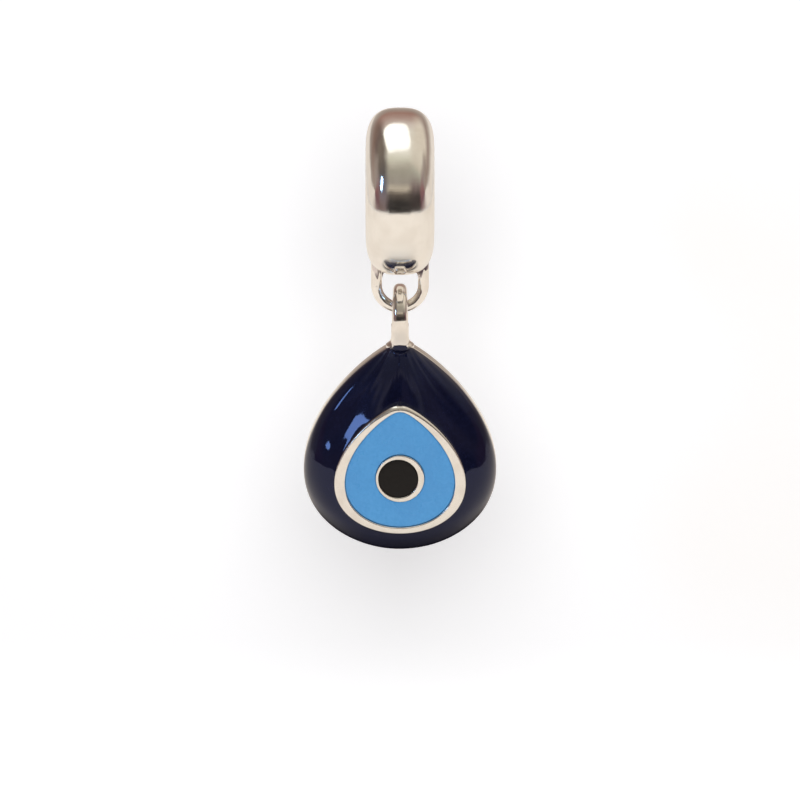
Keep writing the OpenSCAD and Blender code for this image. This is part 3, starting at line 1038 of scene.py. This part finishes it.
# %% Tones of the room
def tone(angle, code, strength=1.0):
    """A stop of the room: the angle up from the front horizon and over, in degrees."""
    return ((angle + 180) / 360, srgb(code, strength))


BACK_FLOOR = "#E6DCD2"


def wall(seam, rise, *stops):
    """A full turn of the room that meets itself straight behind, at the seam."""
    return ((-180, seam), (rise, BACK_FLOOR), (-150, BACK_FLOOR)) + stops + ((180, seam),)


ROOM = {
    "left": wall("#9C9088", -174, (-13, "#766460"), (8, "#786A6C"), (25, "#60606A"),
                 (47, "#625C5A"), (70, "#70665E"), (100, "#786C62"), (125, "#70605A"),
                 (150, "#7E685E"), (166, "#8E7A70")),
    "middle": wall("#B4A89E", -176, (-20, "#2E2A2A"), (2, "#3A3634"), (12, "#6A6058"),
                   (19, "#C2B6A4"), (28, "#9E968C"), (45, "#A29C8E"), (54, "#B6AEA0"),
                   (62, "#D0CCBA"), (72, "#E6E0D2"), (108, "#E2DCD0"), (122, "#CEC0B6"),
                   (138, "#AE948A"), (155, "#9E7C70"), (166, "#A09086")),
    "right": wall("#BCB0A6", -172, (-13, "#3E3634"), (8, "#443C3A"), (25, "#80706C"),
                  (47, "#B2AEA0"), (60, "#CEC4B4"), (90, "#DCD2C2"), (140, "#DCD0C0"),
                  (160, "#AE9E94"), (168, "#98867C")),
    "far": wall("#A89C94", -170, (-13, "#74565A"), (20, "#8A6464"), (60, "#9A8C86"),
                (120, "#9E9086"), (160, "#98867C")),
}
SIDES = {"left": (-0.26, -0.6), "right": (0.12, 0.5), "far": (0.8, 0.97)}
TABLE_TONE = "#DAD5D1"
TABLE_TILT = 14
CLUTTER = 0.16
SOFTBOX_YAW = 15
SOFTBOX = {"Middle_X": -0.1, "Middle_Y": 0.22, "Half_X": 0.34, "Half_Y": 0.48}
SOFTBOX_GLOW = 1.35
TABLE_BLUR = 0.012

ROOM_RECIPE = """
front     MULTIPLY     head_y -1
over      ARCTAN2      head_z front
full_turn MULTIPLY_ADD over 0.15915494 0.5
aside     ABSOLUTE     head_x
across    ABSOLUTE     look_x
high      MAXIMUM      box_z 0.05
slope_x   DIVIDE       box_x high
slope_y   DIVIDE       box_y high
off_x     SUBTRACT     slope_x Middle_X
off_y     SUBTRACT     slope_y Middle_Y
part_x    DIVIDE       off_x Half_X
part_y    DIVIDE       off_y Half_Y
span_x    POWER        part_x 4
span_y    POWER        part_y 4
reach     ADD          span_x span_y
"""
print("room painted in", sum(len(stops) for stops in ROOM.values()), "stops")

# %% World
world = bpy.data.worlds.new("room")
scene.world = world
world.use_nodes = True
tree = world.node_tree
tree.nodes.clear()
looking = add(tree, "ShaderNodeTexCoord").outputs["Generated"]
clutter = add(tree, "ShaderNodeTexNoise", {"Vector": looking, "Scale": 2.6, "Detail": 2})
around = add(tree, "ShaderNodeVectorMath", {
    0: clutter.outputs[1], 1: (-0.5, -0.5, -0.5)})
moved = add(tree, "ShaderNodeVectorMath", {
    0: around, 1: (CLUTTER, CLUTTER, CLUTTER), 2: looking}, operation="MULTIPLY_ADD")
turned_by = add(tree, "ShaderNodeVectorRotate", {
    "Vector": looking, "Angle": -math.radians(SOFTBOX_YAW)}, rotation_type="Z_AXIS")
ways = dict(SOFTBOX)
for way, vector in (("look", looking), ("head", moved), ("box", turned_by)):
    parts = add(tree, "ShaderNodeSeparateXYZ", {0: vector})
    ways.update((f"{way}_{axis}", parts.outputs[i]) for i, axis in enumerate("xyz"))
work_out(tree, ROOM_RECIPE, ways)
walls = {name: ramp_stops(add(tree, "ShaderNodeValToRGB", {0: ways["full_turn"]}),
                          [tone(*stop) for stop in stops]) for name, stops in ROOM.items()}
room = walls["middle"].outputs[0]
for name, (near, far) in SIDES.items():
    share = add(tree, "ShaderNodeMapRange", {
        "Value": ways["aside" if name == "far" else "head_x"],
        "From Min": near, "From Max": far}, interpolation_type="SMOOTHSTEP")
    mix = add(tree, "ShaderNodeMix", {0: share.outputs[0], 6: room, 7: walls[name].outputs[0]},
              data_type="RGBA")
    room = mix.outputs[2]
lamp_share = add(tree, "ShaderNodeMapRange", {
    "Value": ways["reach"], "From Min": 1.9, "From Max": 0.35}, interpolation_type="SMOOTHSTEP")
lamp_mix = add(tree, "ShaderNodeMix", {
    0: lamp_share.outputs[0], 6: room, 7: srgb("#FFFDF6", SOFTBOX_GLOW)}, data_type="RGBA")
room = lamp_mix.outputs[2]
dip = add(tree, "ShaderNodeMapRange", {
    "Value": ways["across"], "From Min": 0.16, "From Max": 0.36, "To Min": 0.09, "To Max": -0.015},
    interpolation_type="SMOOTHSTEP")
height = add(tree, "ShaderNodeMath", {0: ways["look_z"], 1: dip})
edge = math.sin(math.radians(-TABLE_TILT))
on_table = add(tree, "ShaderNodeMapRange", {
    "Value": height, "From Min": edge + TABLE_BLUR, "From Max": edge - TABLE_BLUR})
whole = add(tree, "ShaderNodeMix", {0: on_table.outputs[0], 6: room, 7: srgb(TABLE_TONE)},
            data_type="RGBA")
seen = add(tree, "ShaderNodeLightPath")
painted = add(tree, "ShaderNodeBackground", {"Color": whole.outputs[2], "Strength": 1.0})
white = add(tree, "ShaderNodeBackground", {"Color": srgb("#FFFFFF"), "Strength": 1.0})
choice = add(tree, "ShaderNodeMixShader", {
    0: seen.outputs["Is Camera Ray"], 1: painted, 2: white})
add(tree, "ShaderNodeOutputWorld", {"Surface": choice})
print("world has", len(tree.nodes), "nodes")

# %% [markdown]
# ## The lamps
# The light itself comes from three flat lamps, which give the soft shadow of a product
# table: a softbox overhead, a small bluish window far to the left, whose glint shows on
# the dome and the bead, and a fill from the front. The softbox and the fill are hidden
# from reflections, because the painted room already shows what stands there.

# %% Lamps
def panel_lamp(name, place, aim, wide, tall, radiance, code):
    """A flat lamp: its power is radiance times pi times its area."""
    lamp = bpy.data.lights.new(name, "AREA")
    lamp.shape = "RECTANGLE"
    lamp.size = wide * MM
    lamp.size_y = tall * MM
    lamp.color = srgb(code)[:3]
    lamp.energy = radiance * math.pi * wide * tall * MM * MM
    body = bpy.data.objects.new(name, lamp)
    scene.collection.objects.link(body)
    body.location = Vector(place) * MM
    body.rotation_euler = (Vector(aim) - Vector(place)).to_track_quat("-Z", "Y").to_euler()
    body.visible_camera = False
    print(name, "power", round(lamp.energy, 3), "W")
    return body


softbox = panel_lamp("overhead_softbox", (-35, 62, 300), (-35, 62, 0), 209, 285, 1.6, "#FFFDF6")
softbox.rotation_euler = (0, 0, math.radians(SOFTBOX_YAW))
softbox.visible_glossy = False
panel_lamp("left_window", (-306, -238, 132), (0, 0, -10), 52, 106, 9.0, "#A8D0FF")
fill = panel_lamp("front_fill", (0, -356, 170), (0, 0, -12), 220, 220, 5.0, "#FFFFFF")
fill.visible_glossy = False

# %% [markdown]
# ## The paper sweep
# A sheet of white paper stands behind the charm and curves forward into the floor, so no
# corner shows. It stands far enough back that the drop can't swing into it. It is paper,
# so it is matt, with a faint tooth, and a share of its white is its own glow, as if lit
# from behind, which keeps the charm's shadow soft. It is seen from its front only, so the
# back of the charm can be looked at too.

# %% Paper sweep
WALL_Y = 17.0
FLOOR_Z = -46
SWEEP_R = 14
SWEEP_HALF = 320
sweep_line = [(WALL_Y, 260), (WALL_Y, 60), (WALL_Y, 0), (WALL_Y, FLOOR_Z + SWEEP_R)]
sweep_line += [(WALL_Y - SWEEP_R * u, FLOOR_Z + SWEEP_R * v) for u, v in quarter(13)[1:]]
sweep_line += [(-60, FLOOR_Z), (-SWEEP_HALF, FLOOR_Z)]
sweep_points = [(x, y, z) for y, z in sweep_line for x in (-SWEEP_HALF, SWEEP_HALF)]
sweep_faces = [(2 * i, 2 * i + 1, 2 * i + 3, 2 * i + 2) for i in range(len(sweep_line) - 1)]

paper, tree = empty_material("white_sweep_paper")
place = add(tree, "ShaderNodeTexCoord").outputs["Object"]
tooth = add(tree, "ShaderNodeTexNoise", {"Vector": place, "Scale": 2500, "Detail": 3})
relief = add(tree, "ShaderNodeBump", {
    "Height": tooth.outputs[0], "Strength": 0.15, "Distance": 0.02 * MM})
matt = add(tree, "ShaderNodeBsdfDiffuse", {"Color": srgb("#FAFCFF"), "Normal": relief})
glow = add(tree, "ShaderNodeEmission", {"Color": srgb("#FFFFFF"), "Strength": 0.25})
lit = add(tree, "ShaderNodeAddShader", {0: matt, 1: glow})
away = add(tree, "ShaderNodeNewGeometry")
clear = add(tree, "ShaderNodeBsdfTransparent")
one_sided = add(tree, "ShaderNodeMixShader", {
    0: away.outputs["Backfacing"], 1: lit, 2: clear})
add(tree, "ShaderNodeOutputMaterial", {"Surface": one_sided})

sweep = write_mesh("paper_sweep", sweep_points, sweep_faces, paper)
sweep.data.update()
if sweep.data.polygons[0].normal.y > 0:
    sweep.data.flip_normals()
sweep.data.shade_smooth()
sweep.visible_glossy = False
sweep.visible_diffuse = False
sweep.visible_shadow = False
print("paper stands", WALL_Y, "mm behind the charm's plane")

# %% [markdown]
# ## The table under the charm
# The polished silver also shows the pale table just below it, and the table's near edge is
# the sharp line across the bead and the dome. It is a real disc here, so that it sits at
# the right distance, and its paint darkens under the drop, where the drop would shade it.
# Only reflections see it.

# %% Table
TABLE_Z = -22.6
TABLE_R = 90
SHADE_Y = 6
SHADE_NEAR = 5
SHADE_FAR = 10
TABLE_SIDES = 96
table_ring = [(TABLE_R * math.cos(a), TABLE_R * math.sin(a), TABLE_Z)
              for a in np.linspace(0, 2 * np.pi, TABLE_SIDES, endpoint=False)]
table_paint, tree = empty_material("pale_table_paint")
place = add(tree, "ShaderNodeTexCoord").outputs["Object"]
brush = add(tree, "ShaderNodeTexNoise", {"Vector": place, "Scale": 60, "Detail": 4})
tint = add(tree, "ShaderNodeMix", {
    0: brush.outputs[0], 6: srgb("#EAE5E0"), 7: srgb("#F4EFEB")}, data_type="RGBA")
apart = add(tree, "ShaderNodeVectorMath", {
    0: place, 1: (0, SHADE_Y * MM, TABLE_Z * MM)}, operation="DISTANCE")
shade = add(tree, "ShaderNodeMapRange", {
    "Value": apart.outputs["Value"], "From Min": SHADE_NEAR * MM, "From Max": SHADE_FAR * MM},
    interpolation_type="SMOOTHSTEP")
shaded = add(tree, "ShaderNodeMix", {
    0: shade.outputs[0], 6: srgb("#2A2828"), 7: tint.outputs[2]}, data_type="RGBA")
matt = add(tree, "ShaderNodeBsdfDiffuse", {"Color": shaded.outputs[2]})
add(tree, "ShaderNodeOutputMaterial", {"Surface": matt})
table = write_mesh("pale_table", table_ring, [tuple(range(TABLE_SIDES))], table_paint)
table.visible_camera = False
table.visible_diffuse = False
table.visible_shadow = False
print("table", TABLE_Z, "mm, its edge", TABLE_R, "mm away")
